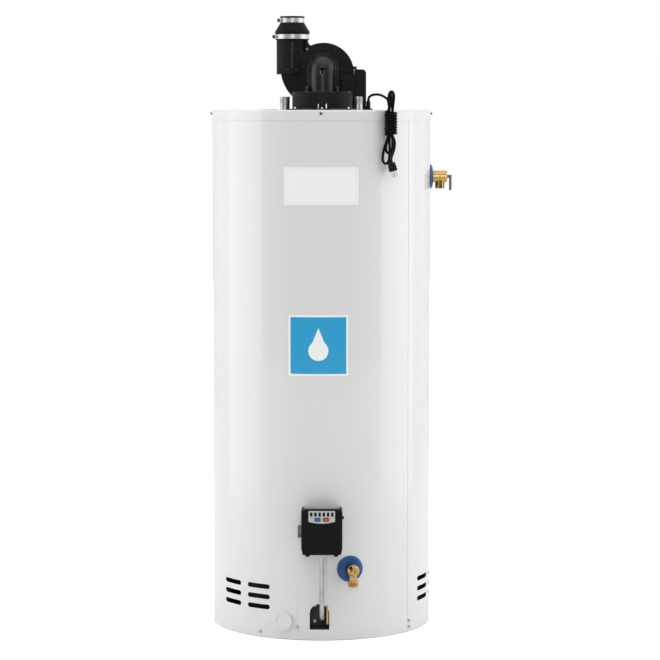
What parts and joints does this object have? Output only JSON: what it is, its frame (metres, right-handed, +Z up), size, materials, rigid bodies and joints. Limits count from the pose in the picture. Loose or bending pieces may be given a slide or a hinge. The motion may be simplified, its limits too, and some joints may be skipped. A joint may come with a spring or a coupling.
{
  "type": "tank water heater",
  "caption": "Tall white gas tank water heater with a power-vent blower on top, gas control, drain and relief valves and a tied power cord.",
  "frame": {"origin": "centre of the base pan's underside, on the floor", "axes": "+Z up along the tank's axis, -Y towards the front with the gas control, +X towards the relief valve"},
  "size_m": [0.6727, 0.707, 1.699],
  "materials": {
    "white_paint": "gloss white enamel",
    "pan_steel": "dark enamelled sheet",
    "zinc": "zinc plated",
    "foam": "rigid foam",
    "tank_steel": "glass lined steel",
    "heat_steel": "heat-stained steel",
    "magnesium": "dull",
    "white_plastic": "moulded",
    "nipple_steel": "zinc plated pipe",
    "ceramic_white": "glazed",
    "dark_sheet": "black painted sheet",
    "gas_tube": "bright drawn tube",
    "cable_orange": "silicone sleeve",
    "label_white": "film label",
    "label_blue": "printed film label",
    "ring_blue": "moulded",
    "valve_brass": "cast and turned",
    "spring_steel": "drawn",
    "lever_steel": "dark plated",
    "cast_alloy": "die cast",
    "control_plastic": "fine textured",
    "board_green": "solder mask",
    "panel_grey": "printed overlay",
    "window_dark": "tinted",
    "button_blue": "moulded",
    "button_red": "moulded",
    "blower_plastic": "moulded",
    "housing_plastic": "fine textured",
    "wheel_steel": "galvanised",
    "fan_plastic": "moulded",
    "motor_paint": "black enamel",
    "vent_rubber": "moulded",
    "clamp_steel": "stainless band",
    "box_plastic": "moulded",
    "cord_black": "jacketed cord",
    "plug_black": "moulded",
    "prong_metal": "nickel plated"
  },
  "bodies": {
    "heater": {"base_pan": "pan_steel", "jacket": "white_paint", "sheet_screws": "zinc", "foam_insulation": "foam", "top_cover": "white_paint", "tank_shell": "tank_steel", "tank_top_head": "tank_steel", "tank_bottom_head": "tank_steel", "flue_tube": "tank_steel", "flue_baffle": "heat_steel", "anode_rod": "magnesium", "anode_access_cap": "white_plastic", "dip_tube": "white_plastic", "cold_nipple": "nipple_steel", "hot_nipple": "nipple_steel", "flame_arrestor": "heat_steel", "burner_head": "heat_steel", "igniter": "ceramic_white", "access_liner": "dark_sheet", "inner_door": "dark_sheet", "manifold_tube": "gas_tube", "igniter_cable": "cable_orange", "side_port_cap": "white_plastic", "front_label": "label_white", "blue_label": "label_blue", "drain_ring": "ring_blue", "drain_valve_body": "valve_brass", "drain_bonnet": "valve_brass", "relief_ring": "ring_blue", "relief_valve_body": "valve_brass", "relief_bonnet": "valve_brass", "relief_spring": "spring_steel", "gas_valve_body": "cast_alloy", "gas_valve_cover": "control_plastic", "control_board": "board_green", "display_panel": "panel_grey", "status_windows": "window_dark", "flue_collector": "blower_plastic", "intake_hood": "blower_plastic", "fan_housing_lower": "housing_plastic", "fan_housing_upper": "housing_plastic", "housing_screws": "zinc", "motor_body": "motor_paint", "motor_end": "motor_paint", "vent_coupling": "vent_rubber", "coupling_clamps": "clamp_steel", "control_box": "box_plastic", "cord_gland": "box_plastic", "power_cord_lead": "cord_black", "power_cord_hank": "cord_black", "plug_body": "plug_black", "plug_prongs": "prong_metal"},
    "fan": {"fan_wheel": "wheel_steel", "fan_shaft": "spring_steel", "cooling_fan": "fan_plastic"},
    "drain_spindle": {"drain_stem": "valve_brass"},
    "relief_spindle": {"relief_stem": "spring_steel"},
    "test_lever": {"relief_lever": "lever_steel"},
    "cooler_key": {"cooler_button": "button_blue"},
    "warmer_key": {"warmer_button": "button_red"}
  },
  "joints": [
    {"name": "fan_spin", "type": "hinge", "parent": "heater", "child": "fan", "pos_m": [0.002, 0.08, 1.541], "axis": [0, 1, 0], "continuous": true},
    {"name": "drain_turn", "type": "hinge", "parent": "heater", "child": "drain_spindle", "pos_m": [0.08665, -0.32567, 0.196], "axis": [0.2571, -0.9664, 0], "range_deg": [0, 90]},
    {"name": "relief_lift", "type": "hinge", "parent": "heater", "child": "test_lever", "pos_m": [0.3565, 0, 1.2517], "axis": [0, -1, 0], "range_deg": [0, 90], "stiffness_Nm_per_rad": 0.3},
    {"name": "relief_pull", "type": "slide", "parent": "heater", "child": "relief_spindle", "axis": [1, 0, 0], "range_m": [0, 0.003]},
    {"name": "cooler_press", "type": "slide", "parent": "heater", "child": "cooler_key", "axis": [0, 1, 0], "range_m": [0, 0.0008], "stiffness_N_per_m": 800},
    {"name": "warmer_press", "type": "slide", "parent": "heater", "child": "warmer_key", "axis": [0, 1, 0], "range_m": [0, 0.0008], "stiffness_N_per_m": 800}
  ],
  "couplings": [
    {"joint": "relief_pull", "follows": "relief_lift", "m_per_rad": 0.0019079}
  ]
}
